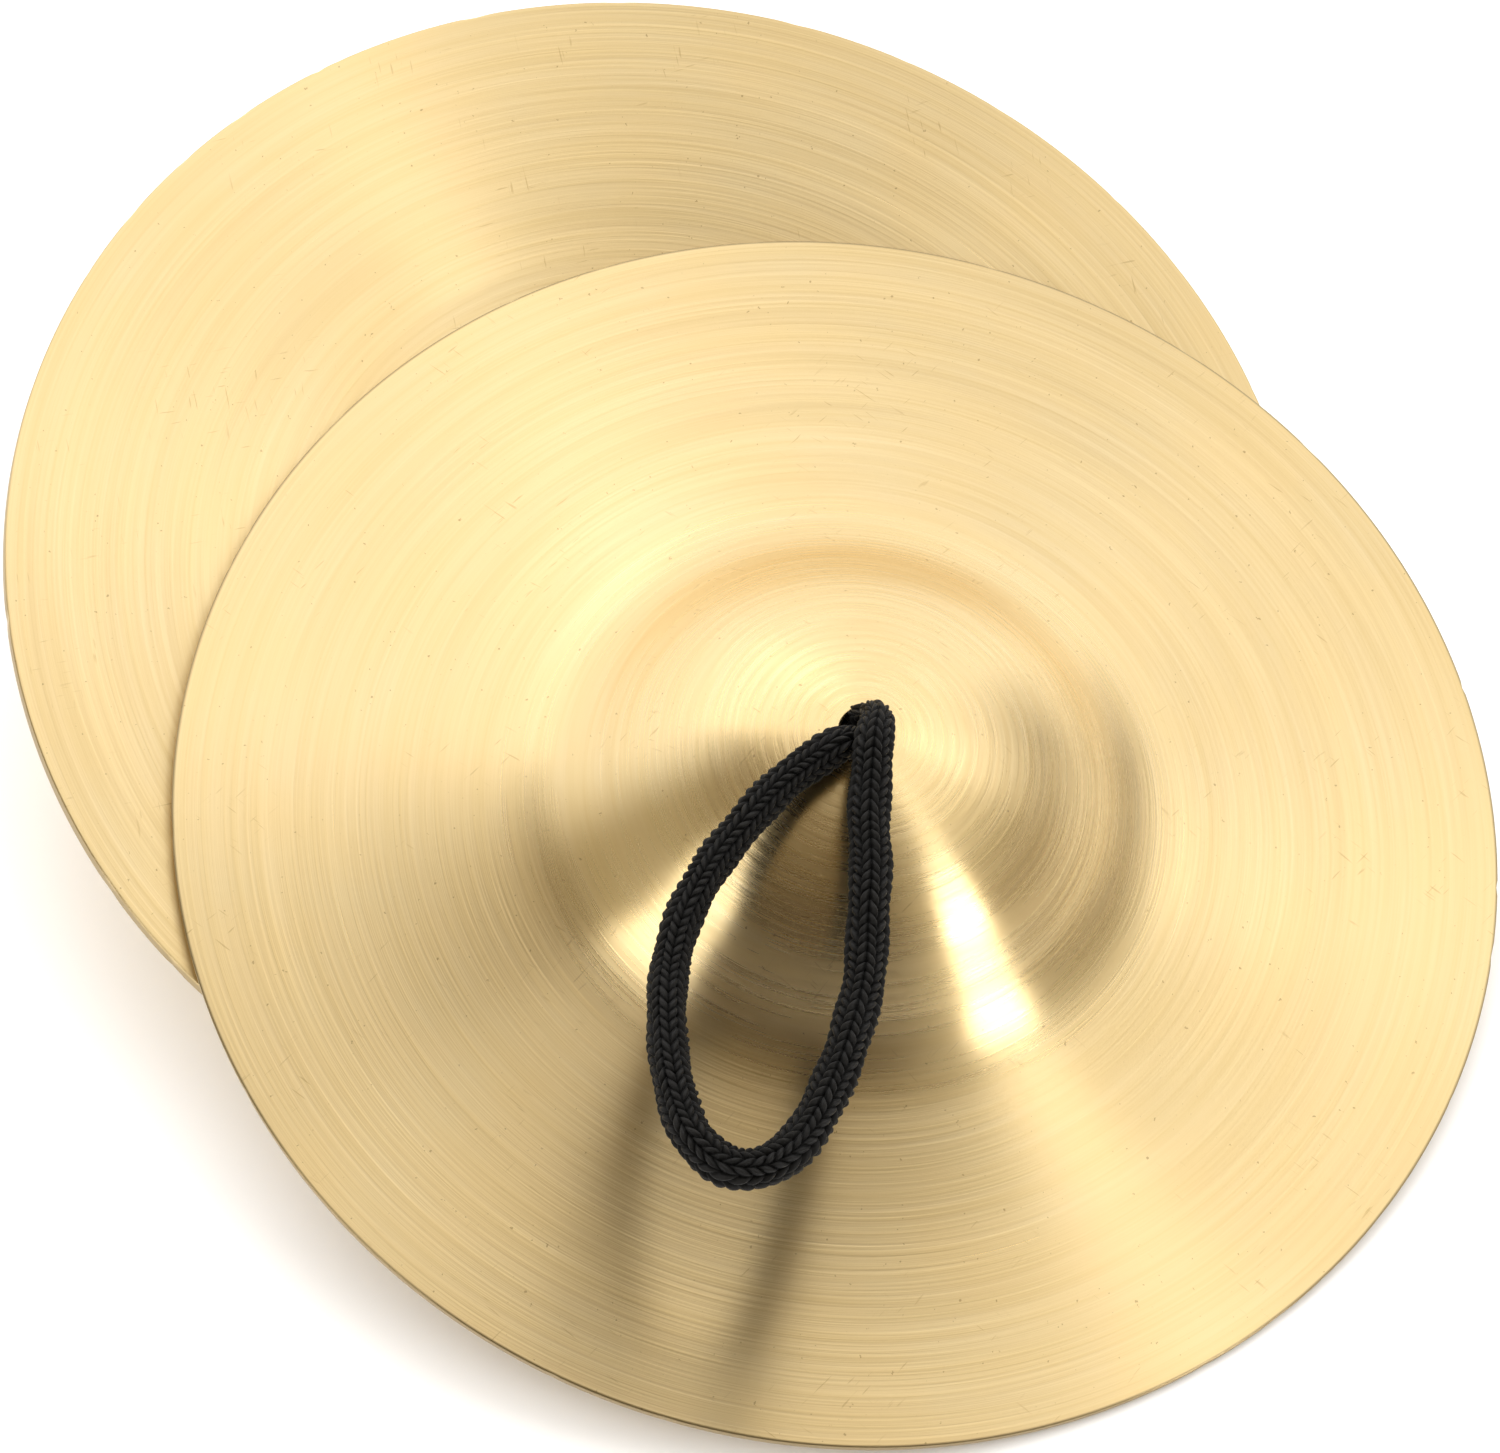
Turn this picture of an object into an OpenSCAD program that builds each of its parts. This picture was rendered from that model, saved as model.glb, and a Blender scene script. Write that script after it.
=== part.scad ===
// A pair of finger cymbals laid face to face and slid apart.
// Each cymbal is one spun brass disc: a domed crown with a cord hole, a hollow waist and a
// straight skirt that runs out to the rim. The lower one lies crown down, the upper one crown up.
// The upper one carries its knitted cord: a finger loop outside, a neck through the hole and a
// knot inside the bell.
// Origin: middle of the pair's footprint on the table. +X runs from the lower cymbal to the upper.

/* [Cymbals] */
// Diameter over the rim
rim_d = 90; // [84:1:96]
// Height of the crown above the plane of the rim
crown_h = 13.8; // [13:0.1:15]
// Thickness of the sheet
sheet_t = 0.8; // [0.6:0.1:1]
// Outer radius of the domed crown
dome_r = 23; // [21:0.5:25]
// Outer radius of the hollow waist between crown and skirt
waist_r = 10; // [8:0.5:12]
// Slope of the skirt in degrees
skirt_slope = 8; // [6:0.5:9]
// Diameter of the cord hole
hole_d = 4; // [4:0.1:4.4]

/* [Resting pair] */
// Distance between the two cymbals' centres, along their rims
slide_apart = 22.4; // [20:0.2:24]
// Angle between the two rim planes in degrees
rim_angle = 1.8; // [1:0.1:2.6]
// Clearance where the two rims cross
rim_gap = 0.05; // [0.03:0.01:0.1]

/* [Cord] */
// Diameter of the knitted cord
cord_d = 3; // [2.6:0.1:3]
// Diameter of the knot inside the upper bell
knot_d = 8.4; // [7.6:0.2:8.8]
// Length of each tail below the knot
tail_l = 4.5; // [3:0.5:5]

/* [Hidden] */

// The sheet's section. Heights are above the plane of the rim's inner edge, on which the cymbals meet.
rim_r = rim_d / 2;
rim_edge_h = sheet_t * cos(skirt_slope);         // height of the rim's outer edge
face_r = rim_r - sheet_t * sin(skirt_slope);     // radius of the rim's inner edge
dome_z = crown_h - dome_r;                       // height of the dome's centre
full_drop = dome_r + waist_r * cos(skirt_slope) + (rim_r + waist_r * sin(skirt_slope)) * tan(skirt_slope);
// Steepest slope, where the dome turns into the waist and the skirt still ends at the rim
waist_slope = skirt_slope
    + acos(cos(skirt_slope) * (full_drop - crown_h + rim_edge_h) / (dome_r + waist_r));
waist_centre = [0, dome_z] + (dome_r + waist_r) * [sin(waist_slope), cos(waist_slope)];
dome_steps = 16;
waist_steps = 12;
disc_sides = 180;
hole_sides = 48;

// The pair rests on the lower crown and on the upper rim. This lean puts both on the table.
half_slide = slide_apart / 2;
reach = half_slide + face_r;                     // from the line where the rims cross to the low rim
lean_sin = reach * cos(rim_angle) + half_slide;
lean_cos = -dome_z - reach * sin(rim_angle);
lower_lean = asin((dome_r + rim_gap) / norm([lean_sin, lean_cos])) - atan2(lean_cos, lean_sin);
upper_lean = lower_lean - rim_angle;
lower_z = dome_r + dome_z * cos(lower_lean);
upper_z = lower_z - half_slide * (sin(lower_lean) + sin(upper_lean)) + rim_gap;
apart_x = half_slide * (cos(lower_lean) + cos(upper_lean));
low_end = -rim_r * cos(lower_lean) - rim_edge_h * sin(lower_lean);
high_end = apart_x + rim_r * cos(upper_lean) + rim_edge_h * sin(upper_lean);
lower_x = -(low_end + high_end) / 2;
upper_x = lower_x + apart_x;

// The cord. Its route is in the upper cymbal's own frame: up out of the hole, out along one
// strand, round the tip and back along the other strand into the hole.
route = [
    [-0.5, 0.75, 13.9], [-0.4, 0.6, 15], [0.5, 0.25, 16.1], [1.75, -0.9, 16.75], [3.5, -2.25, 16.75],
    [6.5, -4.5, 17], [10, -6.75, 17.5], [13, -9, 17.75], [16, -11.25, 18], [18.5, -13.75, 18.5],
    [21, -16.75, 19], [23, -19.75, 19.5], [24.25, -22.5, 20], [24.25, -25, 20.25],
    [23, -26.75, 20.25], [20.5, -27.25, 19.75], [17.5, -26.5, 19], [14.25, -25, 18.25],
    [11, -23, 17.5], [8.25, -20.75, 16.75], [6, -18.25, 16.5], [4, -15, 16.25], [2.5, -11.5, 16],
    [1.25, -8, 15.75], [0.75, -5.25, 15.5], [0.5, -3, 15.5], [0.5, -1.7, 14.7], [0.5, -0.9, 13.9]
];
route_end = len(route) - 1;
squeeze = [0.6, 0.72, 0.85, 0.95];               // share of the diameter left towards the hole
cord_sides = 8;
neck_r = hole_d / 2 - 0.05;                      // both strands squeezed together in the hole
neck_low = crown_h - 1.4;                        // where the neck meets the knot
knot_z = neck_low - knot_d / 2 + 0.3;
tail_spread = 18;                                // each tail's angle off the axis in degrees
tail_sides = 24;

function unit(v) = v / norm(v);
// Both ends of the cord stand straight up out of the hole
function heading(i) =
    i == 0 ? [0, 0, 1] : i == route_end ? [0, 0, -1] : unit(route[i + 1] - route[i - 1]);
// Sideways direction of each ring, carried along the route without twist
function sideways(i) =
    i == 0 ? [1, 0, 0] : let (s = sideways(i - 1), h = heading(i)) unit(s - (s * h) * h);
function cord_r(i) = let (k = min(i, route_end - i)) cord_d / 2 * (k < len(squeeze) ? squeeze[k] : 1);
function cord_ring(i) =
    let (s = sideways(i), u = cross(heading(i), s))
    [for (k = [0 : cord_sides - 1])
        let (a = 360 * k / cord_sides) route[i] + cord_r(i) * (cos(a) * s + sin(a) * u)];
function arc(centre, r, from, to, steps) =
    [for (k = [0 : steps]) let (a = from + (to - from) * k / steps) centre + r * [sin(a), cos(a)]];

// The whole cord outside the hole, a ring at each of the route's points
module cord_tube() {
    n = cord_sides;
    polyhedron(
        points = [for (i = [0 : route_end]) each cord_ring(i)],
        faces = concat(
            [[for (k = [n - 1 : -1 : 0]) k]],
            [for (i = [0 : route_end - 1], k = [0 : n - 1]) each
                let (a = i * n + k, b = i * n + (k + 1) % n) [[a, b, b + n], [a, b + n, a + n]]],
            [[for (k = [0 : n - 1]) route_end * n + k]]));
}

// One brass disc, crown up, with its axis on Z and its rim's inner edge at height 0
module cymbal() {
    dome = [0, dome_z];
    difference() {
        rotate_extrude($fn = disc_sides)
            polygon(concat(
                arc(dome, dome_r, 0, waist_slope, dome_steps),
                arc(waist_centre, -waist_r, waist_slope, skirt_slope, waist_steps),
                [[rim_r, rim_edge_h], [face_r, 0]],
                arc(waist_centre, -waist_r - sheet_t, skirt_slope, waist_slope, waist_steps),
                arc(dome, dome_r - sheet_t, waist_slope, 0, dome_steps)));
        translate([0, 0, crown_h - 3 * sheet_t])
            cylinder(h = 4 * sheet_t, d = hole_d, $fn = hole_sides);
    }
}

// Places something drawn in the upper cymbal's own frame
module on_upper() {
    translate([upper_x, 0, upper_z]) rotate([0, upper_lean, 0]) children();
}

module lower_cymbal() {
    color("goldenrod")
        translate([lower_x, 0, lower_z]) rotate([0, lower_lean, 0]) mirror([0, 0, 1]) cymbal();
}

module upper_cymbal() {
    color("gold") on_upper() cymbal();
}

// The knot that keeps the cord from pulling out, flattened where it meets the neck, and its tails
module cord_knot() {
    color("black") on_upper() {
        intersection() {
            translate([0, 0, knot_z]) sphere(d = knot_d, $fn = tail_sides);
            translate([0, 0, neck_low - knot_d]) cylinder(h = knot_d, d = knot_d, $fn = tail_sides);
        }
        for (side = [-1, 1])
            translate([0, side * knot_d / 5, knot_z]) rotate([side * (180 - tail_spread), 0, 0])
                cylinder(h = knot_d / 2 + tail_l, d = cord_d - 0.2, $fn = tail_sides);
    }
}

// The soft stretch inside the hole, where both strands are squeezed side by side
module cord_neck() {
    color("black") on_upper() translate([0, 0, neck_low])
        cylinder(h = route[0].z - neck_low, r = neck_r, $fn = hole_sides);
}

// The finger loop
module cord_loop() {
    color("black") on_upper() cord_tube();
}

lower_cymbal();
upper_cymbal();
cord_knot();
cord_neck();
cord_loop();
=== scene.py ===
"""The looks of a pair of brass finger cymbals with a knitted finger loop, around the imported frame."""

import math

import bpy
import numpy as np
from mathutils import Matrix, Vector


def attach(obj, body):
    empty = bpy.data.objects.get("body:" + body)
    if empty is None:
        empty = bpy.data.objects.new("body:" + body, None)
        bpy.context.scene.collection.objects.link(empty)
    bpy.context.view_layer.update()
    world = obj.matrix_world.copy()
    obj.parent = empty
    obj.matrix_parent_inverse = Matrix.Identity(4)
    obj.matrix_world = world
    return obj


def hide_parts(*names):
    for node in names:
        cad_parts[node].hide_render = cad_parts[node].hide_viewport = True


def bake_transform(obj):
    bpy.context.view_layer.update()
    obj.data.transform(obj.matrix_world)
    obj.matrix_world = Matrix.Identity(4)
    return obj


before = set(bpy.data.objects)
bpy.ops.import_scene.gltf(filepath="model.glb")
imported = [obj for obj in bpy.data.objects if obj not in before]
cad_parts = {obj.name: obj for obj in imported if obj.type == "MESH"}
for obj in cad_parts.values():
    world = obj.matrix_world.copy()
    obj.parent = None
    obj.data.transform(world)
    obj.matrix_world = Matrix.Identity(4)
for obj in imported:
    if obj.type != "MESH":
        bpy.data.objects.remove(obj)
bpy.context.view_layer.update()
scene = bpy.context.scene
scene.view_settings.view_transform = "Standard"
MM = 0.001

# ---------------------------------------------------------------- the pair's sizes, as in the CAD
RIM_R = 45.0
CROWN_H = 13.8
SHEET = 0.8
DOME_R = 23.0
WAIST_R = 10.0
SLOPE = math.radians(8)
HALF_SLIDE = 11.2
RIM_ANGLE = math.radians(1.8)
RIM_GAP = 0.05
RIM_EDGE_H = SHEET * math.cos(SLOPE)
FACE_R = RIM_R - SHEET * math.sin(SLOPE)
DOME_Z = CROWN_H - DOME_R

# ---------------------------------------------------------------- where the looks leave the CAD
# The squeezed cord fills its hole, so the mouth is drawn a little narrower than the 2 mm bore
HOLE_R = 1.75
# The bend between bell and skirt is softened over this radius. The skirt hangs lower at its middle
# by its own sag, from SAG_R outwards. The lower one's is less, so that the upper rim clears it.
SOFT_BEND = 1.3
UPPER_SAG = 1.15
LOWER_SAG = 0.36
SAG_R = 16.5


def waist_slope():
    """The steepest slope, where the dome turns into the hollow waist."""
    drop = DOME_R + WAIST_R * math.cos(SLOPE)
    drop += (RIM_R + WAIST_R * math.sin(SLOPE)) * math.tan(SLOPE)
    share = math.cos(SLOPE) * (drop - CROWN_H + RIM_EDGE_H) / (DOME_R + WAIST_R)
    return SLOPE + math.acos(share)


STEEP = waist_slope()
WAIST_C = (
    (DOME_R + WAIST_R) * math.sin(STEEP),
    DOME_Z + (DOME_R + WAIST_R) * math.cos(STEEP),
)


def resting_places():
    """Each cymbal's place: (x, height, lean) of the middle of its rim plane, upper then lower."""
    reach = HALF_SLIDE + FACE_R
    across = reach * math.cos(RIM_ANGLE) + HALF_SLIDE
    down = -DOME_Z - reach * math.sin(RIM_ANGLE)
    lean = math.asin((DOME_R + RIM_GAP) / math.hypot(across, down)) - math.atan2(down, across)
    up_lean = lean - RIM_ANGLE
    z_low = DOME_R + DOME_Z * math.cos(lean)
    z_up = z_low - HALF_SLIDE * (math.sin(lean) + math.sin(up_lean)) + RIM_GAP
    apart = HALF_SLIDE * (math.cos(lean) + math.cos(up_lean))
    low_end = -RIM_R * math.cos(lean) - RIM_EDGE_H * math.sin(lean)
    high_end = apart + RIM_R * math.cos(up_lean) + RIM_EDGE_H * math.sin(up_lean)
    x_low = -(low_end + high_end) / 2
    return (x_low + apart, z_up, up_lean), (x_low, z_low, lean)


UPPER, LOWER = resting_places()


def place(spot, flip=False):
    """The matrix from a cymbal's own frame, in metres, to the row frame."""
    x, z, lean = spot
    made = Matrix.Translation((x * MM, 0, z * MM)) @ Matrix.Rotation(lean, 4, "Y")
    if flip:
        made = made @ Matrix.Rotation(math.pi, 4, "X")
    return made


UP_PLACE = place(UPPER)
LOW_PLACE = place(LOWER, flip=True)


def on_upper(points):
    """Points in the upper cymbal's own frame, in mm, as points in the row frame, in metres."""
    turn = np.array(UP_PLACE.to_3x3())
    return np.asarray(points, float) * MM @ turn.T + np.array(UP_PLACE.translation)


# ---------------------------------------------------------------- camera
def make_camera():
    data = bpy.data.cameras.new("camera")
    camera = bpy.data.objects.new("camera", data)
    scene.collection.objects.link(camera)
    scene.camera = camera
    data.sensor_width = 36
    data.lens = 150.6
    data.clip_start = 0.01
    azimuth = math.radians(-33.13)
    height = math.radians(53.61)
    roll = math.radians(-0.38)
    distance = 0.430
    aim = Vector((0.00005, -0.0002, 0.008))
    back = Vector((
        math.cos(azimuth) * math.cos(height),
        math.sin(azimuth) * math.cos(height),
        math.sin(height),
    ))
    right = Vector((0, 0, 1)).cross(back).normalized()
    up = back.cross(right)
    rolled = right * math.cos(roll) + up * math.sin(roll)
    upright = back.cross(rolled)
    turn = Matrix((rolled, upright, back)).transposed()
    camera.matrix_world = Matrix.Translation(aim + back * distance) @ turn.to_4x4()


make_camera()


# ---------------------------------------------------------------- mesh helpers
def new_object(name, mesh):
    made = bpy.data.objects.new(name, mesh)
    scene.collection.objects.link(made)
    return made


def grid_faces(rows, columns, closed_rows=False):
    """Quads over a grid of rows x columns points whose columns close round."""
    last = rows if closed_rows else rows - 1
    i = np.arange(last)[:, None]
    j = np.arange(columns)[None, :]
    below = (i + 1) % rows
    beside = (j + 1) % columns
    quads = np.stack([
        i * columns + j,
        i * columns + beside,
        below * columns + beside,
        below * columns + j,
    ], axis=-1)
    return quads.reshape(-1, 4)


def mesh_of(name, points, quads, fans=()):
    """A smooth mesh from numpy arrays. Fans are rings of point numbers closed by one face each."""
    mesh = bpy.data.meshes.new(name)
    loops = np.concatenate([quads.ravel()] + [np.asarray(f) for f in fans])
    sizes = np.concatenate([np.full(len(quads), 4), [len(f) for f in fans]]).astype(int)
    starts = np.concatenate([[0], np.cumsum(sizes)[:-1]])
    mesh.vertices.add(len(points))
    mesh.vertices.foreach_set("co", np.asarray(points, np.float32).ravel())
    mesh.loops.add(len(loops))
    mesh.loops.foreach_set("vertex_index", loops.astype(np.int32))
    mesh.polygons.add(len(sizes))
    mesh.polygons.foreach_set("loop_start", starts.astype(np.int32))
    mesh.polygons.foreach_set("use_smooth", np.ones(len(sizes), bool))
    mesh.update(calc_edges=True)
    mesh.validate()
    return mesh


def note_points(mesh, name, values):
    """Keeps one number per point for the material to read."""
    kept = mesh.attributes.new(name, "FLOAT", "POINT")
    kept.data.foreach_set("value", np.asarray(values, np.float32))


def note_vectors(mesh, name, values):
    """Keeps one vector per point for the material to read."""
    kept = mesh.attributes.new(name, "FLOAT_VECTOR", "POINT")
    kept.data.foreach_set("vector", np.asarray(values, np.float32).ravel())


# ---------------------------------------------------------------- cord
# The route in the upper cymbal's own frame, in mm, the same points as in the CAD, and the
# short stretches inside the hole before it and after it
ROUTE = [
    (-0.5, 0.75, 13.9), (-0.4, 0.6, 15), (0.5, 0.25, 16.1), (1.75, -0.9, 16.75),
    (3.5, -2.25, 16.75), (6.5, -4.5, 17), (10, -6.75, 17.5), (13, -9, 17.75),
    (16, -11.25, 18), (18.5, -13.75, 18.5), (21, -16.75, 19), (23, -19.75, 19.5),
    (24.25, -22.5, 20), (24.25, -25, 20.25), (23, -26.75, 20.25), (20.5, -27.25, 19.75),
    (17.5, -26.5, 19), (14.25, -25, 18.25), (11, -23, 17.5), (8.25, -20.75, 16.75),
    (6, -18.25, 16.5), (4, -15, 16.25), (2.5, -11.5, 16), (1.25, -8, 15.75),
    (0.75, -5.25, 15.5), (0.5, -3, 15.5), (0.5, -1.7, 14.7), (0.5, -0.9, 13.9),
]
IN_HOLE_A = [(-0.45, 0.75, 12.3), (-0.5, 0.75, 13.1)]
IN_HOLE_B = [(0.5, -0.85, 13.1), (0.45, -0.8, 12.3)]
# Columns of stitches round the cord, and the length of one stitch in mm
KNIT_COLUMNS = 6
KNIT_PITCH = 0.76


def smooth_line(points, step):
    """A curve through the points, as points a step apart, in mm."""
    p = np.asarray(points, float)
    p = np.vstack([2 * p[0] - p[1], p, 2 * p[-1] - p[-2]])
    t = np.linspace(0, 1, 60, endpoint=False)[:, None]
    runs = []
    for a, b, c, d in zip(p[:-3], p[1:-2], p[2:-1], p[3:]):
        cubic = 2 * b + (c - a) * t
        cubic += (2 * a - 5 * b + 4 * c - d) * t**2
        cubic += (3 * b - a - 3 * c + d) * t**3
        runs.append(cubic / 2)
    fine = np.vstack(runs + [p[-2:-1]])
    along = np.concatenate([[0], np.cumsum(np.linalg.norm(np.diff(fine, axis=0), axis=1))])
    count = int(round(along[-1] / step)) + 1
    wanted = np.linspace(0, along[-1], count)
    line = np.stack([np.interp(wanted, along, fine[:, k]) for k in range(3)], axis=1)
    return line, wanted


def carried_frames(line):
    """Two sideways directions at each point of a line, carried along it without twist."""
    heading = np.gradient(line, axis=0)
    heading /= np.linalg.norm(heading, axis=1)[:, None]
    side = np.zeros_like(line)
    start = np.cross(heading[0], (0, 1, 0))
    side[0] = start / np.linalg.norm(start)
    for i in range(1, len(line)):
        s = side[i - 1] - (side[i - 1] @ heading[i]) * heading[i]
        side[i] = s / np.linalg.norm(s)
    return side, np.cross(heading, side)


def pillow(x, power=2.2):
    """A rounded bump over -1 to 1 that falls steeply at both ends."""
    return np.clip(1 - np.abs(x) ** power, 0, 1) ** (1 / power)


def knit_tube(name, points, radius_at, press=None, relief=0.58, step=0.07, around=120, seed=3):
    """A tube of V stitches in columns along a route in mm. Returns its mesh and its centreline.

    Each stitch leg is a rounded ridge that starts at its column's middle groove and trails away
    to the column's edge, so that two legs make a V. radius_at gives the tube's radius in mm from
    the distances from its two ends, and press may change its section."""
    line, along = smooth_line(points, step)
    side, other = carried_frames(line)
    turn = np.arange(around) / around
    rng = np.random.default_rng(seed)
    column = (turn[None, :] + np.zeros((len(along), 1))) * KNIT_COLUMNS
    number = np.floor(column).astype(int)
    u = 2 * (column - number) - 1
    across = np.abs(u)
    # each column's stitches start at their own place and wander a little along the cord
    lag = rng.uniform(0, 1, KNIT_COLUMNS)
    waves = rng.uniform(0, 2 * math.pi, (KNIT_COLUMNS, 3))
    wander = sum(
        0.10 * np.sin(along[:, None] * w + waves[None, :, k])
        for k, w in enumerate((0.31, 0.73, 1.7))
    )
    drift = np.take_along_axis(wander, number, axis=1)
    phase = along[:, None] / KNIT_PITCH - 0.9 * across + lag[number] + drift
    beat = phase - np.floor(phase)
    # the leg's back is high and its front tucks under the next one
    ridge = pillow(2 * beat**0.85 - 1, 1.9)
    width = pillow(2 * across - 1, 2.2)
    height = ridge * (0.12 + 0.88 * width)
    # no two neighbouring legs are equally full
    leg_number = np.floor(phase).astype(int) * 17 + number * 5 + (u > 0) * 3
    height *= 0.88 + 0.12 * np.sin(leg_number * 12.9898)
    radius = radius_at(along, along[-1] - along)[:, None]
    reach = radius * (1 - relief / 1.5 * (1 - height))
    angle = 2 * math.pi * turn[None, :]
    out = np.cos(angle)[..., None] * side[:, None] + np.sin(angle)[..., None] * other[:, None]
    offset = out * reach[..., None]
    if press is not None:
        offset = press(offset, along, along[-1] - along)
    rings = line[:, None] + offset
    count = len(line)
    points_out = rings.reshape(-1, 3)
    fans = [np.arange(around)[::-1], (count - 1) * around + np.arange(around)]
    quads = grid_faces(count, around)
    mesh = mesh_of(name, on_upper(points_out), quads, fans)
    note_points(mesh, "height", height.ravel())
    note_points(mesh, "fibre", phase.ravel() % 97)
    note_points(mesh, "leg", (number + across * 0.5 + (u > 0) * 0.5).ravel())
    return mesh, line


def loop_radius(from_start, from_end):
    """The cord's radius: full on the near strand, thinner on the far one, squeezed in the hole."""
    share = from_start / (from_start + from_end)
    full = np.interp(share, [0, 0.35, 0.6, 0.8, 1], [1.52, 1.52, 1.42, 1.38, 1.36])
    squeeze = np.interp(from_start, [0, 2.6, 4.2, 6, 8.5], [0.62, 0.62, 0.78, 0.92, 1])
    squeeze *= np.interp(from_end, [0, 1.6, 2.8, 4.2], [0.68, 0.70, 0.90, 1])
    return full * squeeze


def press_in_hole(offset, from_start, from_end):
    """The two strands lie side by side in the round hole, so each is pressed to half of it."""
    between = np.array(ROUTE[0]) - np.array(ROUTE[-1])
    between[2] = 0
    between /= np.linalg.norm(between)
    beside = np.array([-between[1], between[0], 0])
    near = np.minimum(from_start, from_end)
    share = np.clip((2.6 - near) / 1.0, 0, 1)[:, None, None]
    wider = (offset @ beside)[..., None] * beside
    thinner = (offset @ between)[..., None] * between
    return offset + share * (0.85 * wider - 0.05 * thinner)


LOOP_POINTS = IN_HOLE_A + ROUTE + IN_HOLE_B
loop_mesh, loop_line = knit_tube("finger_loop", LOOP_POINTS, loop_radius, press_in_hole)
finger_loop = new_object("finger_loop", loop_mesh)


# ---------------------------------------------------------------- knot
# Height of the knot's middle in the upper cymbal's own frame, and its cord's and tails' radii
KNOT_Z = 9.0
KNOT_CORD_R = 1.42
TAIL_R = 1.25


def overhand():
    """Points of a tight overhand knot, in the upper cymbal's own frame."""
    t = np.linspace(0, 2 * math.pi, 40)
    wide = 1.45 + 0.95 * np.cos(3 * t)
    x = wide * np.cos(2 * t)
    y = wide * np.sin(2 * t)
    z = KNOT_Z + 1.55 * np.sin(3 * t)
    return np.stack([x, y, z], axis=1)


def tail_points(side):
    """A tail's route, down and out of the knot to its own side."""
    return [
        (0.3, side * 0.9, 9.2),
        (0.2, side * 1.5, 7.4),
        (0.0, side * 2.3, 5.2),
        (-0.1, side * 3.1, 2.8),
        (-0.1, side * 3.9, 0.9),
    ]


def tail_radius(from_start, from_end):
    """Full width, rounded over at the heat-sealed end."""
    end = np.clip(from_end / 0.9, 0, 1)
    return TAIL_R * np.sqrt(np.clip(1 - (1 - end) ** 2, 0.02, 1))


def knot_radius(from_start, from_end):
    return np.full_like(from_start, KNOT_CORD_R)


def make_knot():
    """The overhand knot and its two tails, remeshed into one closed skin."""
    parts = []
    mesh, _ = knit_tube("knot_turns", overhand(), knot_radius, step=0.11, around=84, seed=5)
    parts.append(new_object("knot_turns", mesh))
    for side in (-1, 1):
        mesh, _ = knit_tube("tail", tail_points(side), tail_radius, step=0.1, around=84, seed=7)
        parts.append(new_object("tail", mesh))
    bpy.ops.object.select_all(action="DESELECT")
    for part in parts:
        part.select_set(True)
    bpy.context.view_layer.objects.active = parts[0]
    bpy.ops.object.join()
    knot = bpy.context.view_layer.objects.active
    knot.name = "cord_knot_tied"
    knot.data.remesh_voxel_size = 0.00012
    bpy.ops.object.voxel_remesh()
    knot.data.polygons.foreach_set("use_smooth", np.ones(len(knot.data.polygons), bool))
    return knot


knot = make_knot()


# ---------------------------------------------------------------- cymbals
def arc(centre, radius, start, end, steps):
    angles = np.linspace(start, end, steps)
    return np.stack([
        centre[0] + radius * np.sin(angles),
        centre[1] + radius * np.cos(angles),
    ], axis=1)


def rounded(corner, before, after, radius, steps=5):
    """A small round over a corner between two directions given by neighbouring points."""
    corner = np.asarray(corner, float)
    to_a = np.asarray(before, float) - corner
    to_b = np.asarray(after, float) - corner
    to_a /= np.linalg.norm(to_a)
    to_b /= np.linalg.norm(to_b)
    half = math.acos(np.clip(to_a @ to_b, -1, 1)) / 2
    back = radius / math.tan(half)
    start = corner + to_a * back
    end = corner + to_b * back
    t = np.linspace(0, 1, steps)[:, None]
    return (1 - t) ** 2 * start + 2 * t * (1 - t) * corner + t**2 * end


def section():
    """The sheet's section as a closed line of (radius, height), outside first, in mm."""
    dome = (0, DOME_Z)
    inner_r = DOME_R - SHEET
    hole_out = math.asin(HOLE_R / DOME_R)
    hole_in = math.asin(HOLE_R / inner_r)
    soft = 0.12
    top = arc(dome, DOME_R, hole_out + 0.008, STEEP, 70)
    waist = arc(WAIST_C, -WAIST_R, STEEP, SLOPE, 40)
    under_waist = arc(WAIST_C, -WAIST_R - SHEET, SLOPE, STEEP, 40)
    under = arc(dome, inner_r, STEEP, hole_in + 0.008, 60)
    rim_out = (RIM_R, RIM_EDGE_H)
    rim_in = (FACE_R, 0.0)
    skirt = np.linspace(waist[-1], np.add(rim_out, [-0.3, 0.3 * math.tan(SLOPE)]), 80)[1:]
    under_skirt = np.linspace(np.add(rim_in, [-0.3, 0.3 * math.tan(SLOPE)]), under_waist[0], 80)
    mouth_out = (HOLE_R, DOME_Z + DOME_R * math.cos(hole_out))
    mouth_in = (HOLE_R, DOME_Z + inner_r * math.cos(hole_in))
    return np.vstack([
        rounded(mouth_out, mouth_in, top[1], 0.15),
        top[1:],
        waist[1:],
        skirt,
        rounded(rim_out, skirt[-2], rim_in, soft),
        rounded(rim_in, rim_out, under_skirt[1], soft),
        under_skirt,
        under_waist[1:],
        under[1:],
        rounded(mouth_in, under[-2], mouth_out, 0.1),
    ])


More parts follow.
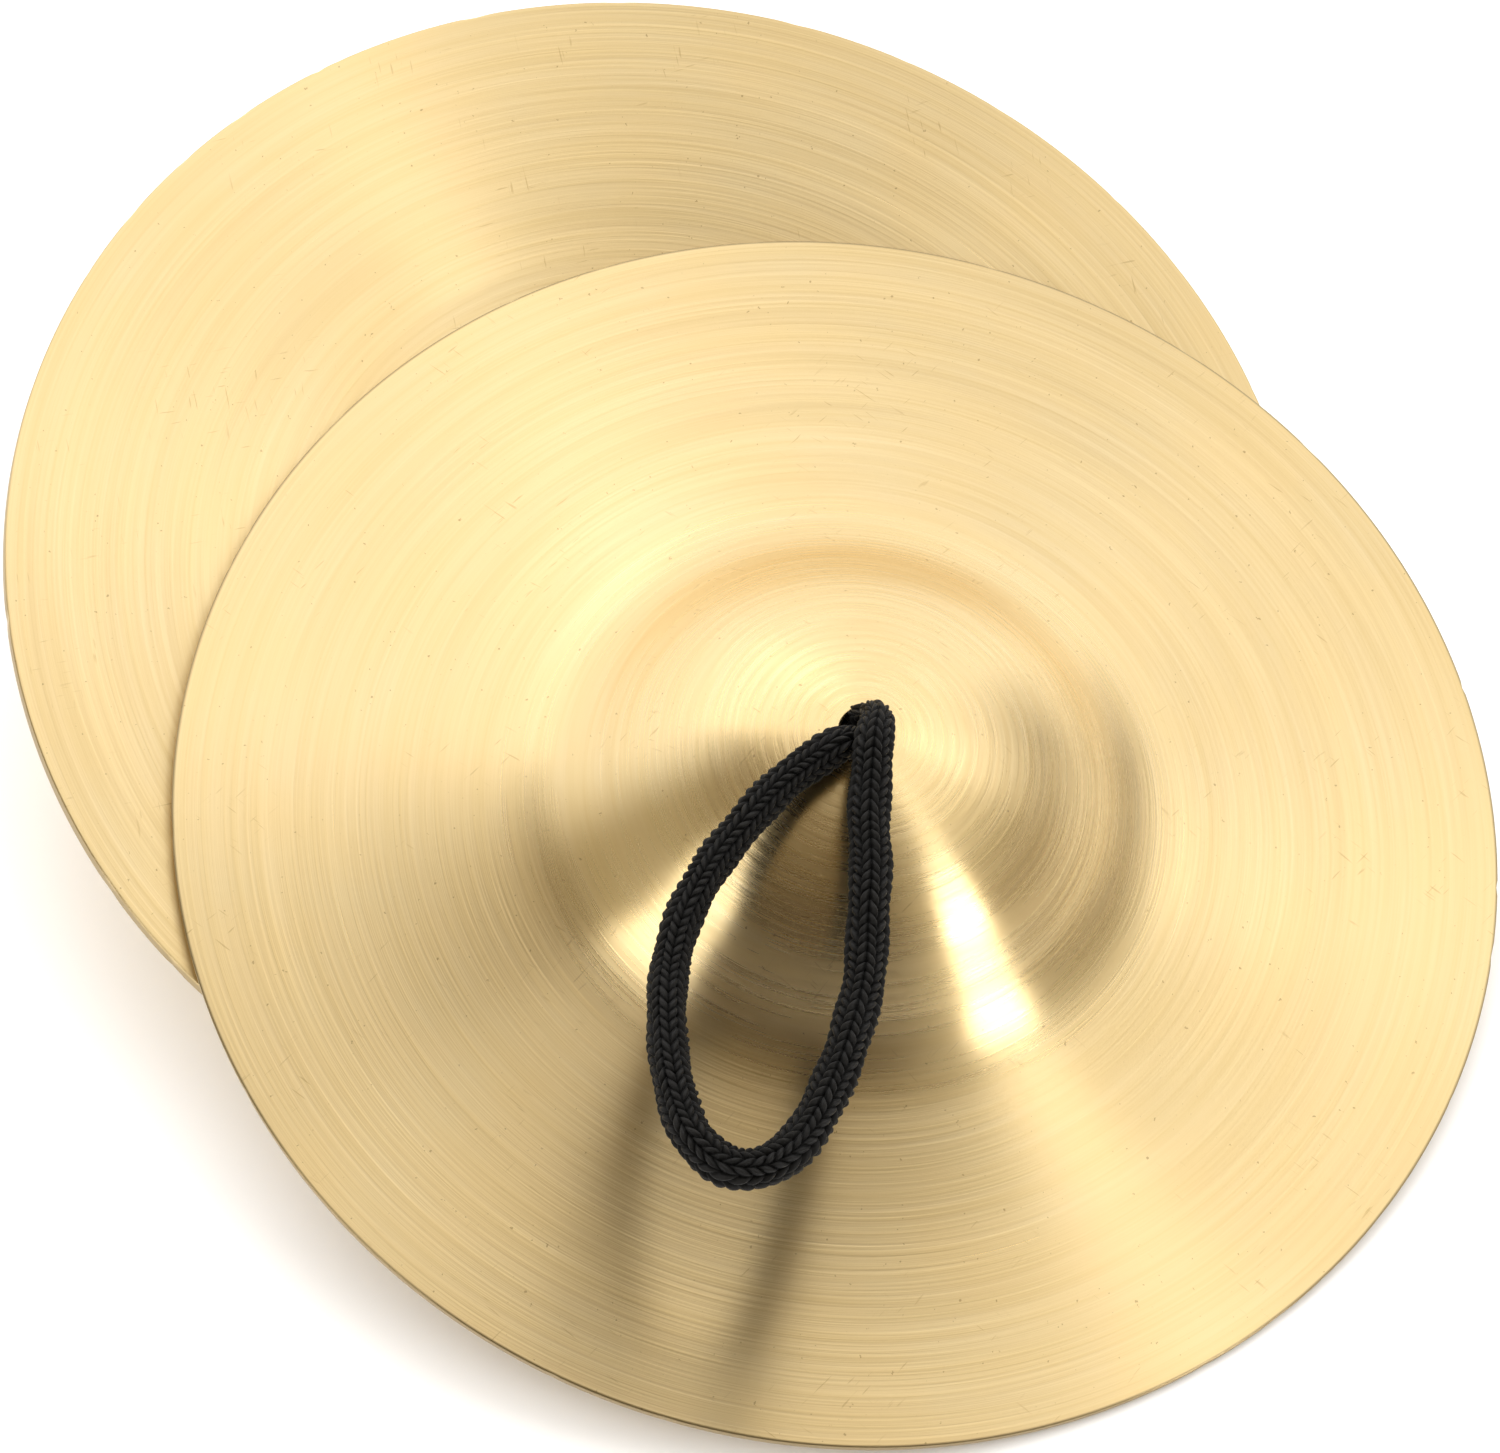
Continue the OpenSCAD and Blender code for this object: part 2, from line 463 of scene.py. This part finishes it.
def bend_softly(radius, sag):
    """How far the real sheet, with its gentler bend and flatter rim, lies above the CAD's, in mm."""
    step = 0.1
    r = np.arange(0, RIM_R + 0.05, step)
    dome = DOME_Z + np.sqrt(DOME_R**2 - np.minimum(r, DOME_R) ** 2)
    waist = WAIST_C[1] - np.sqrt(np.clip(WAIST_R**2 - (r - WAIST_C[0]) ** 2, 0, None))
    skirt = RIM_EDGE_H + (RIM_R - r) * math.tan(SLOPE)
    dome_end = DOME_R * math.sin(STEEP)
    waist_end = WAIST_C[0] - WAIST_R * math.sin(SLOPE)
    plain = np.where(r < dome_end, dome, np.where(r < waist_end, waist, skirt))
    # the softening curve's half length, in steps
    reach = 45
    kernel = np.exp(-0.5 * (np.arange(-reach, reach + 1) * step / SOFT_BEND) ** 2)
    kernel /= kernel.sum()
    before = plain[reach:0:-1]
    after = plain[-1] - np.arange(1, reach + 1) * step * math.tan(SLOPE)
    soft = np.convolve(np.concatenate([before, plain, after]), kernel, "valid")
    change = (soft - plain) * np.clip((r - 13) / 4, 0, 1)
    change -= sag * np.sin(math.pi * np.clip((r - SAG_R) / (RIM_R - SAG_R), 0, 1))
    return np.interp(radius, r, change)


def make_cymbal(name, matrix, sag, seed):
    """One spun disc: its section turned round, with faint spinning ridges and a nicked rim."""
    line = section()
    around = 480
    angle = 2 * math.pi * np.arange(around) / around
    rng = np.random.default_rng(seed)
    radius = line[:, 0]
    # ridges left by the spinning tool on the crown, and a sheet that isn't quite true
    ridge = 0.006 * np.sin(radius * 7.5 + 1.3 * np.sin(radius * 0.9)) * np.clip(
        1.6 - radius / 14, 0, 1
    )
    starts = rng.uniform(0, 2 * math.pi, 4)
    wave = sum(
        size * np.cos(k * angle + s)
        for size, k, s in zip((0.05, 0.035, 0.02, 0.012), (2, 3, 5, 8), starts)
    )
    lift = wave[None, :] * np.clip((radius - 16) / 29, 0, 1)[:, None] ** 2
    lift += ridge[:, None]
    lift += bend_softly(radius, sag)[:, None]
    r = np.repeat(radius[:, None], around, axis=1)
    z = line[:, 1][:, None] + lift
    # small nicks in the rim
    near_rim = np.clip((radius - (RIM_R - 0.35)) / 0.35, 0, 1)[:, None]
    for _ in range(26):
        where = rng.uniform(0, 2 * math.pi)
        size = rng.uniform(0.02, 0.09)
        wide = rng.uniform(0.004, 0.016)
        off = (angle - where + math.pi) % (2 * math.pi) - math.pi
        r -= size * near_rim * np.exp(-((off / wide) ** 2))[None, :]
    own = np.stack([r * np.cos(angle), r * np.sin(angle), z], axis=-1).reshape(-1, 3)
    outward = own * (1, 1, 0) / np.linalg.norm(own[:, :2], axis=1)[:, None]
    turn = np.array(matrix.to_3x3())
    points = own * MM @ turn.T + np.array(matrix.translation)
    # the section runs outside first, so the quads are turned over to face out of the sheet
    quads = grid_faces(len(line), around, closed_rows=True)[:, ::-1]
    mesh = mesh_of(name, points, quads)
    note_vectors(mesh, "own", own)
    note_vectors(mesh, "outward", outward @ turn.T)
    return new_object(name, mesh)


upper = make_cymbal("upper_spun_disc", UP_PLACE, UPPER_SAG, 11)
lower = make_cymbal("lower_spun_disc", LOW_PLACE, LOWER_SAG, 23)


# ---------------------------------------------------------------- materials
class Nodes:
    """A short way to write a material's nodes."""

    def __init__(self, name, made=None):
        self.material = made or bpy.data.materials.new(name)
        self.material.use_nodes = True
        self.tree = self.material.node_tree
        self.surface = self.tree.nodes.get("Principled BSDF")

    def add(self, kind, **settings):
        node = self.tree.nodes.new(kind)
        for key, value in settings.items():
            if key == "inputs":
                for name, given in value.items():
                    self.give(node, name, given)
            else:
                setattr(node, key, value)
        return node

    def give(self, node, name, given):
        if isinstance(given, bpy.types.NodeSocket):
            self.tree.links.new(given, node.inputs[name])
        else:
            node.inputs[name].default_value = given

    def maths(self, operation, a, b=0.0, c=0.0):
        node = self.add("ShaderNodeMath", operation=operation)
        self.give(node, 0, a)
        self.give(node, 1, b)
        self.give(node, 2, c)
        return node.outputs[0]

    def ramp(self, value, low, high, to_low=0.0, to_high=1.0, kind="LINEAR"):
        node = self.add("ShaderNodeMapRange", clamp=True, interpolation_type=kind)
        self.give(node, "Value", value)
        self.give(node, "From Min", low)
        self.give(node, "From Max", high)
        self.give(node, "To Min", to_low)
        self.give(node, "To Max", to_high)
        return node.outputs["Result"]

    def mix(self, share, a, b):
        node = self.add("ShaderNodeMix", data_type="RGBA")
        self.give(node, 0, share)
        for socket, given in ((6, a), (7, b)):
            if isinstance(given, bpy.types.NodeSocket):
                self.tree.links.new(given, node.inputs[socket])
            else:
                node.inputs[socket].default_value = given
        return node.outputs[2]

    def noise(self, vector, scale, detail=2.0, rough=0.5):
        node = self.add("ShaderNodeTexNoise")
        node.inputs["Scale"].default_value = scale
        node.inputs["Detail"].default_value = detail
        node.inputs["Roughness"].default_value = rough
        self.tree.links.new(vector, node.inputs["Vector"])
        return node.outputs["Fac"]

    def vector(self, x, y, z):
        node = self.add("ShaderNodeCombineXYZ")
        for key, given in zip("XYZ", (x, y, z)):
            self.give(node, key, given)
        return node.outputs[0]


def brushed_brass():
    """Spun brass with fine circular brush lines, whose gloss spreads across the lines."""
    n = Nodes("spun_brass")
    own = n.add("ShaderNodeAttribute", attribute_name="own").outputs["Vector"]
    parts = n.add("ShaderNodeSeparateXYZ", inputs={0: own})
    x, y, z = parts.outputs
    radius = n.maths("SQRT", n.maths("ADD", n.maths("MULTIPLY", x, x), n.maths("MULTIPLY", y, y)))
    round_x = n.maths("DIVIDE", x, radius)
    round_y = n.maths("DIVIDE", y, radius)

    def lines(across, along, detail):
        """Brush lines: noise that runs fast across the radius and slowly round the disc."""
        spot = n.vector(
            n.maths("MULTIPLY", radius, across),
            n.maths("MULTIPLY", round_x, along),
            n.maths("MULTIPLY", round_y, along),
        )
        return n.noise(spot, 1, detail)

    fine = lines(5.5, 1.6, 3)
    coarse = lines(1.6, 1.2, 3)
    faint = lines(0.35, 0.8, 2)
    cloud = n.noise(own, 0.11, 3)
    pits = n.ramp(n.noise(own, 2.6, 2), 0.27, 0.24)
    outward = n.add("ShaderNodeAttribute", attribute_name="outward").outputs["Vector"]
    tangent = n.add("ShaderNodeVectorTransform", vector_type="VECTOR",
                    convert_from="OBJECT", convert_to="WORLD")
    n.give(tangent, 0, outward)
    n.give(n.surface, "Tangent", tangent.outputs[0])
    gold = n.mix(n.ramp(cloud, 0.35, 0.65), (0.94, 0.73, 0.39, 1), (0.92, 0.735, 0.415, 1))
    gold = n.mix(n.ramp(coarse, 0.35, 0.65, 0.0, 0.4), gold, (0.86, 0.655, 0.31, 1))
    gold = n.mix(n.ramp(fine, 0.4, 0.68, 0.0, 0.3), gold, (0.84, 0.625, 0.29, 1))
    # rings left by the spinning tool round the crown
    ring = n.maths("SINE", n.maths("ADD", n.maths("MULTIPLY", radius, 8.5), n.maths("MULTIPLY", faint, 9)))
    ring = n.maths("MULTIPLY", n.ramp(ring, -0.2, 1.0), n.ramp(radius, 15, 9, 0.0, 0.55))
    ring = n.maths("MULTIPLY", ring, n.ramp(n.noise(own, 0.12, 1), 0.42, 0.62, 0.25, 1.0))
    gold = n.mix(ring, gold, (0.80, 0.585, 0.27, 1))
    gold = n.mix(n.maths("MULTIPLY", pits, 0.5), gold, (0.3, 0.18, 0.07, 1))
    # stray handling marks: short strokes in two directions, only here and there
    marks = n.ramp(n.noise(own, 0.16, 2), 0.52, 0.62)
    for across_x, across_y in ((5.0, 1.3), (-1.6, 4.4)):
        stroke = n.maths("ADD", n.maths("MULTIPLY", x, across_x), n.maths("MULTIPLY", y, across_y))
        along = n.maths("SUBTRACT", n.maths("MULTIPLY", x, across_y), n.maths("MULTIPLY", y, across_x))
        thin = n.noise(n.vector(stroke, n.maths("MULTIPLY", along, 0.09), z), 1, 1)
        scratch = n.maths("MULTIPLY", n.ramp(thin, 0.70, 0.76), marks)
        gold = n.mix(n.maths("MULTIPLY", scratch, 0.45), gold, (0.55, 0.38, 0.16, 1))
    # painted reflection: the sheet's sheared edge is coloured darker, standing in for the dark
    # surroundings that the edge mirrors
    edge = n.ramp(radius, RIM_R - 0.22, RIM_R - 0.08)
    gold = n.mix(n.maths("MULTIPLY", edge, 0.75), gold, (0.24, 0.18, 0.10, 1))
    n.give(n.surface, "Base Color", gold)
    n.give(n.surface, "Metallic", 1.0)
    skirt = n.ramp(radius, 19, 26, kind="SMOOTHSTEP")
    n.give(n.surface, "Anisotropic", n.ramp(skirt, 0, 1, 0.88, 0.94))
    rough = n.maths("ADD", n.ramp(fine, 0.3, 0.7, 0.0, 0.05), n.ramp(faint, 0.3, 0.7, -0.02, 0.02))
    rough = n.maths("ADD", rough, n.ramp(skirt, 0, 1, 0.25, 0.29))
    n.give(n.surface, "Roughness", rough)
    bump = n.add("ShaderNodeBump")
    bump.inputs["Strength"].default_value = 0.85
    bump.inputs["Distance"].default_value = 0.00002
    n.give(bump, "Height", n.maths("ADD", fine, n.maths("MULTIPLY", coarse, 1.1)))
    n.give(n.surface, "Normal", bump.outputs[0])
    return n.material


def knitted_black():
    """Black knitted yarn with a slight sheen, with shade painted darker down in the grooves."""
    n = Nodes("black_knit")
    height = n.add("ShaderNodeAttribute", attribute_name="height").outputs["Fac"]
    fibre = n.add("ShaderNodeAttribute", attribute_name="fibre").outputs["Fac"]
    leg = n.add("ShaderNodeAttribute", attribute_name="leg").outputs["Fac"]
    strands = n.noise(n.vector(n.maths("MULTIPLY", fibre, 9), n.maths("MULTIPLY", leg, 4), 0.0), 1, 2)
    # painted shade: the base colour darkens where a stitch leg lies low, standing in for the shade down in
    # the grooves
    painted_groove_shade = n.mix(n.ramp(height, 0.3, 1.0), (0.0010, 0.0010, 0.0009, 1), (0.0075, 0.0070, 0.0063, 1))
    n.give(n.surface, "Base Color", painted_groove_shade)
    n.give(n.surface, "Roughness", n.ramp(strands, 0.3, 0.7, 0.42, 0.62))
    n.give(n.surface, "Specular IOR Level", 0.2)
    n.give(n.surface, "Sheen Weight", 0.03)
    n.give(n.surface, "Sheen Roughness", 0.4)
    bump = n.add("ShaderNodeBump")
    bump.inputs["Strength"].default_value = 0.6
    bump.inputs["Distance"].default_value = 0.00006
    n.give(bump, "Height", strands)
    n.give(n.surface, "Normal", bump.outputs[0])
    return n.material


brass = brushed_brass()
black = knitted_black()
for piece in (upper, lower):
    piece.data.materials.clear()
    piece.data.materials.append(brass)
for piece in (finger_loop, knot):
    piece.data.materials.clear()
    piece.data.materials.append(black)


# ---------------------------------------------------------------- which body each piece rides on
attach(upper, "upper_cymbal")
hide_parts("upper_cymbal")
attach(lower, "lower_cymbal")
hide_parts("lower_cymbal")
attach(knot, "cord_knot")
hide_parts("cord_knot")
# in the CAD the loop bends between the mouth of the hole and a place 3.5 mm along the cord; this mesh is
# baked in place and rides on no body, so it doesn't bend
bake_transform(finger_loop)
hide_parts("cord_loop", "cord_neck")


# ---------------------------------------------------------------- floor and light
def make_floor():
    """A plain pale floor."""
    data = bpy.data.meshes.new("floor")
    # half its width
    s = 1.5
    data.from_pydata([(-s, -s, 0), (s, -s, 0), (s, s, 0), (-s, s, 0)], [], [(0, 1, 2, 3)])
    floor = new_object("floor", data)
    n = Nodes("floor_paper")
    n.give(n.surface, "Base Color", (0.9, 0.9, 0.9, 1))
    n.give(n.surface, "Roughness", 0.9)
    data.materials.append(n.material)


def soft_light(name, place_at, aim, size, power):
    """A rectangular lamp that faces its aim."""
    data = bpy.data.lights.new(name, "AREA")
    data.shape = "RECTANGLE"
    data.size, data.size_y = size
    data.energy = power
    lamp = bpy.data.objects.new(name, data)
    scene.collection.objects.link(lamp)
    lamp.location = place_at
    lamp.rotation_mode = "QUATERNION"
    lamp.rotation_quaternion = (Vector(aim) - Vector(place_at)).to_track_quat("-Z", "Y")
    return lamp


def toward(azimuth):
    """The level direction at an azimuth in degrees."""
    return math.cos(math.radians(azimuth)), math.sin(math.radians(azimuth))


def make_world():
    """A white tent behind the object, dim at its sides, and dark in front and low on the right."""
    world = bpy.data.worlds.new("studio")
    scene.world = world
    n = Nodes("studio", world)
    way = n.add("ShaderNodeTexCoord").outputs["Generated"]
    x, y, z = n.add("ShaderNodeSeparateXYZ", inputs={0: way}).outputs
    flat = n.maths("SQRT", n.maths("ADD", n.maths("MULTIPLY", x, x), n.maths("MULTIPLY", y, y)))
    flat = n.maths("MAXIMUM", flat, 0.001)

    def facing(azimuth):
        """1 straight towards an azimuth, 0 square to it."""
        east, north = toward(azimuth)
        along = n.maths("ADD", n.maths("MULTIPLY", x, east), n.maths("MULTIPLY", y, north))
        return n.maths("DIVIDE", along, flat)

    wall = n.ramp(facing(146), 0.0, 0.48, kind="SMOOTHSTEP")
    front = n.ramp(facing(-45), 0.55, 0.85, kind="SMOOTHSTEP")
    glow = n.mix(front, (0.42, 0.38, 0.30, 1), (0.06, 0.042, 0.026, 1))
    glow = n.mix(wall, glow, (1.20, 1.19, 1.20, 1))
    open_side = n.maths("MULTIPLY", n.ramp(facing(60), 0.66, 0.88), n.ramp(z, 0.50, 0.26))
    glow = n.mix(open_side, glow, (0.18, 0.13, 0.07, 1))
    # above the tent there is only the overhead softbox
    top = n.ramp(z, 0.74, 0.86, kind="SMOOTHSTEP")
    glow = n.mix(top, glow, (0.16, 0.12, 0.065, 1))
    n.give(n.tree.nodes["Background"], "Color", glow)


def strip(name, azimuth, height, wide, tall, glow):
    """A lamp of the given width and height, in degrees as the object sees it, that faces it."""
    far = 0.7
    east, north = toward(azimuth)
    level = math.cos(math.radians(height))
    spot = Vector((east * level, north * level, math.sin(math.radians(height)))) * far
    across = 2 * far * math.tan(math.radians(wide / 2))
    upright = 2 * far * math.tan(math.radians(tall / 2))
    soft_light(name, spot, (0, 0, 0), (across, upright), glow * math.pi * across * upright)


def make_overhead():
    """A level softbox above and behind the object, which its brass mirrors."""
    east, north = toward(112)
    out = 0.21
    lamp = soft_light("overhead", (east * out, north * out, 0.5), (0, 0, 0), (0.86, 0.38), 1.09)
    lamp.rotation_mode = "XYZ"
    lamp.rotation_euler = (0, 0, math.radians(26))


def make_fill():
    """An even light on the floor and the cord, which doesn't show in the brass."""
    lamp = soft_light("fill", (0, 0, 0.9), (0, 0, 0), (2.0, 2.0), 20)
    lamp.visible_glossy = False


make_floor()
make_world()
strip("strip_right", 19, 24, 14, 11, 10)
strip("strip_left", -85, 34, 22, 32, 2.2)
make_overhead()
make_fill()
